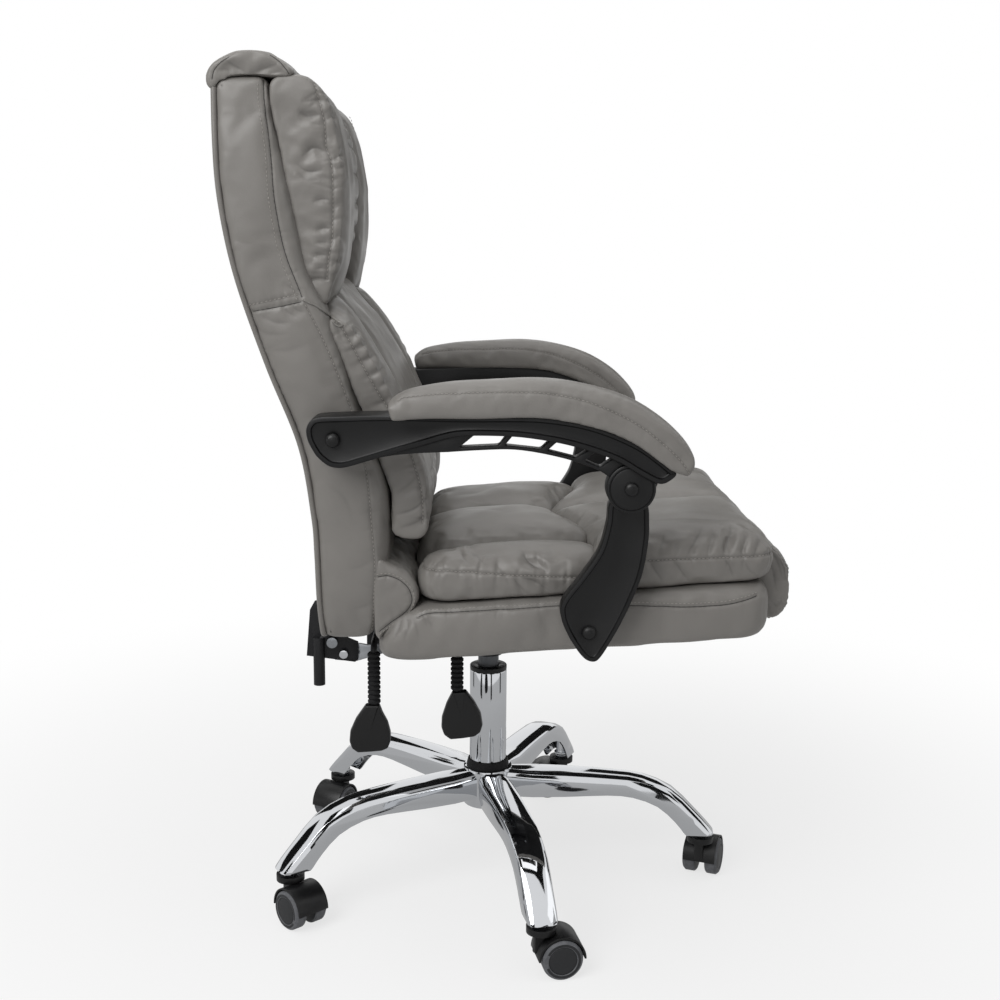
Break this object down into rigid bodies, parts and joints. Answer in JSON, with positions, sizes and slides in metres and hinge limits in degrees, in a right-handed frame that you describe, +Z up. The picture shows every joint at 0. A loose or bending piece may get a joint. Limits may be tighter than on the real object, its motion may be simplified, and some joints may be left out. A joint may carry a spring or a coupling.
{
  "type": "office chair",
  "caption": "Executive office chair with a tufted leather seat, a reclining high back, linked padded arms, a gas lift and a chrome star base on casters.",
  "frame": {"origin": "on the floor, on the axis of the column", "axes": "+Z up, -Y to the front of the chair, +X to the sitter's left"},
  "size_m": [0.662, 0.6777, 1.072],
  "materials": {
    "chrome": "polished",
    "steel": "zinc plated",
    "black_steel": "satin black",
    "grey_steel": "grey",
    "black_plastic": "fine grained",
    "black_rubber": "matt",
    "wheel": "matt",
    "plywood": "raw",
    "leather": "soft grain",
    "white_plastic": "satin",
    "zinc": "zinc plated"
  },
  "bodies": {
    "base": {"star_base": "chrome", "caster_stems": "steel", "column_collar": "black_plastic", "column_tube": "chrome", "column_bush": "black_plastic"},
    "rod": {"piston_rod": "steel"},
    "seat": {"lift_cylinder": "grey_steel", "mechanism_housing": "black_steel", "mechanism_screws": "zinc", "hinge_arms": "zinc", "seat_board": "plywood", "seat_cushion": "leather", "seat_front_puffs": "leather", "seat_rear_puffs": "leather", "seat_side_puffs": "leather", "seat_front_roll": "leather", "strut_bolts": "black_steel"},
    "valve": {"valve_button": "steel"},
    "lift_lever": {"lift_lever": "black_steel", "lift_sleeve": "black_rubber", "lift_paddle": "black_plastic"},
    "lock_lever": {"lock_lever": "black_steel", "lock_sleeve": "black_rubber", "lock_paddle": "black_plastic"},
    "back": {"back_brackets": "black_steel", "hinge_pins": "chrome", "hinge_spacers": "white_plastic", "back_board": "plywood", "back_cushion": "leather", "back_rear_panel": "leather", "back_top_cap": "leather", "head_wings": "leather", "head_pillow": "leather", "back_centre_pad": "leather", "back_side_bolsters": "leather", "lumbar_roll": "leather", "back_bolts": "black_steel"},
    "strut_right": {"arm_strut_right": "black_plastic"},
    "arm_right": {"arm_frame_right": "black_plastic", "arm_pad_right": "leather", "arm_pivot_right": "black_steel"},
    "strut_left": {"arm_strut_left": "black_plastic"},
    "arm_left": {"arm_frame_left": "black_plastic", "arm_pad_left": "leather", "arm_pivot_left": "black_steel"},
    "caster_1": {"caster_hood_1": "black_plastic"},
    "wheel_1_outer": {"wheel_1_outer": "wheel"},
    "wheel_1_inner": {"wheel_1_inner": "wheel"},
    "caster_2": {"caster_hood_2": "black_plastic"},
    "wheel_2_outer": {"wheel_2_outer": "wheel"},
    "wheel_2_inner": {"wheel_2_inner": "wheel"},
    "caster_3": {"caster_hood_3": "black_plastic"},
    "wheel_3_outer": {"wheel_3_outer": "wheel"},
    "wheel_3_inner": {"wheel_3_inner": "wheel"},
    "caster_4": {"caster_hood_4": "black_plastic"},
    "wheel_4_outer": {"wheel_4_outer": "wheel"},
    "wheel_4_inner": {"wheel_4_inner": "wheel"},
    "caster_5": {"caster_hood_5": "black_plastic"},
    "wheel_5_outer": {"wheel_5_outer": "wheel"},
    "wheel_5_inner": {"wheel_5_inner": "wheel"}
  },
  "joints": [
    {"name": "seat_swivel", "type": "hinge", "parent": "base", "child": "rod", "pos_m": [0, 0, 0.1], "axis": [0, 0, 1], "continuous": true},
    {"name": "seat_lift", "type": "slide", "parent": "rod", "child": "seat", "axis": [0, 0, 1], "range_m": [0, 0.08]},
    {"name": "lift_lever_pull", "type": "hinge", "parent": "seat", "child": "lift_lever", "pos_m": [-0.048, 0.04, 0.366], "axis": [0, 1, 0], "range_deg": [0, 3.5]},
    {"name": "valve_press", "type": "slide", "parent": "seat", "child": "valve", "axis": [0, 0, -1], "range_m": [0, 0.003], "stiffness_N_per_m": 1500, "springref_m": -0.002},
    {"name": "lock_lever_pull", "type": "hinge", "parent": "seat", "child": "lock_lever", "pos_m": [-0.048, 0.143, 0.372], "axis": [0, 1, 0], "range_deg": [0, 5], "stiffness_Nm_per_rad": 2, "springref_deg": -5.73},
    {"name": "back_recline", "type": "hinge", "parent": "seat", "child": "back", "pos_m": [0, 0.184, 0.348], "axis": [-1, 0, 0], "range_deg": [0, 25], "stiffness_Nm_per_rad": 80, "springref_deg": -20.05},
    {"name": "strut_right_swing", "type": "hinge", "parent": "seat", "child": "strut_right", "pos_m": [-0.276, -0.113, 0.423], "axis": [-1, 0, 0], "range_deg": [0, 41.1]},
    {"name": "arm_right_tilt", "type": "hinge", "parent": "strut_right", "child": "arm_right", "pos_m": [-0.29, -0.154, 0.5955], "axis": [1, 0, 0], "range_deg": [0, 39]},
    {"name": "strut_left_swing", "type": "hinge", "parent": "seat", "child": "strut_left", "pos_m": [0.276, -0.113, 0.423], "axis": [-1, 0, 0], "range_deg": [0, 41.1]},
    {"name": "arm_left_tilt", "type": "hinge", "parent": "strut_left", "child": "arm_left", "pos_m": [0.29, -0.154, 0.5955], "axis": [1, 0, 0], "range_deg": [0, 39]},
    {"name": "caster_1_swivel", "type": "hinge", "parent": "base", "child": "caster_1", "pos_m": [-0.0292, -0.29255, 0.05], "axis": [0, 0, 1], "continuous": true},
    {"name": "wheel_1_outer_roll", "type": "hinge", "parent": "caster_1", "child": "wheel_1_outer", "pos_m": [-0.0088, -0.30079, 0.025], "axis": [0.3746, 0.9272, 0], "continuous": true},
    {"name": "wheel_1_inner_roll", "type": "hinge", "parent": "caster_1", "child": "wheel_1_inner", "pos_m": [-0.0088, -0.30079, 0.025], "axis": [0.3746, 0.9272, 0], "continuous": true},
    {"name": "caster_2_swivel", "type": "hinge", "parent": "base", "child": "caster_2", "pos_m": [0.26921, -0.11817, 0.05], "axis": [0, 0, 1], "continuous": true},
    {"name": "wheel_2_outer_roll", "type": "hinge", "parent": "caster_2", "child": "wheel_2_outer", "pos_m": [0.26921, -0.09617, 0.025], "axis": [-1, 0, 0], "continuous": true},
    {"name": "wheel_2_inner_roll", "type": "hinge", "parent": "caster_2", "child": "wheel_2_inner", "pos_m": [0.26921, -0.09617, 0.025], "axis": [-1, 0, 0], "continuous": true},
    {"name": "caster_3_swivel", "type": "hinge", "parent": "base", "child": "caster_3", "pos_m": [0.19558, 0.21951, 0.05], "axis": [0, 0, 1], "continuous": true},
    {"name": "wheel_3_outer_roll", "type": "hinge", "parent": "caster_3", "child": "wheel_3_outer", "pos_m": [0.17598, 0.2295, 0.025], "axis": [-0.454, -0.891, 0], "continuous": true},
    {"name": "wheel_3_inner_roll", "type": "hinge", "parent": "caster_3", "child": "wheel_3_inner", "pos_m": [0.17598, 0.2295, 0.025], "axis": [-0.454, -0.891, 0], "continuous": true},
    {"name": "caster_4_swivel", "type": "hinge", "parent": "base", "child": "caster_4", "pos_m": [-0.14833, 0.25384, 0.05], "axis": [0, 0, 1], "continuous": true},
    {"name": "wheel_4_outer_roll", "type": "hinge", "parent": "caster_4", "child": "wheel_4_outer", "pos_m": [-0.16468, 0.23912, 0.025], "axis": [0.6691, -0.7431, 0], "continuous": true},
    {"name": "wheel_4_inner_roll", "type": "hinge", "parent": "caster_4", "child": "wheel_4_inner", "pos_m": [-0.16468, 0.23912, 0.025], "axis": [0.6691, -0.7431, 0], "continuous": true},
    {"name": "caster_5_swivel", "type": "hinge", "parent": "base", "child": "caster_5", "pos_m": [-0.28725, -0.06263, 0.05], "axis": [0, 0, 1], "continuous": true},
    {"name": "wheel_5_outer_roll", "type": "hinge", "parent": "caster_5", "child": "wheel_5_outer", "pos_m": [-0.28305, -0.08423, 0.025], "axis": [0.9816, 0.1908, 0], "continuous": true},
    {"name": "wheel_5_inner_roll", "type": "hinge", "parent": "caster_5", "child": "wheel_5_inner", "pos_m": [-0.28305, -0.08423, 0.025], "axis": [0.9816, 0.1908, 0], "continuous": true}
  ],
  "couplings": [
    {"joint": "valve_press", "follows": "lift_lever_pull", "m_per_rad": 0.048},
    {"joint": "strut_right_swing", "follows": "back_recline", "ratio": 1.641},
    {"joint": "arm_right_tilt", "follows": "back_recline", "ratio": 1.5568},
    {"joint": "strut_left_swing", "follows": "back_recline", "ratio": 1.641},
    {"joint": "arm_left_tilt", "follows": "back_recline", "ratio": 1.5568}
  ]
}
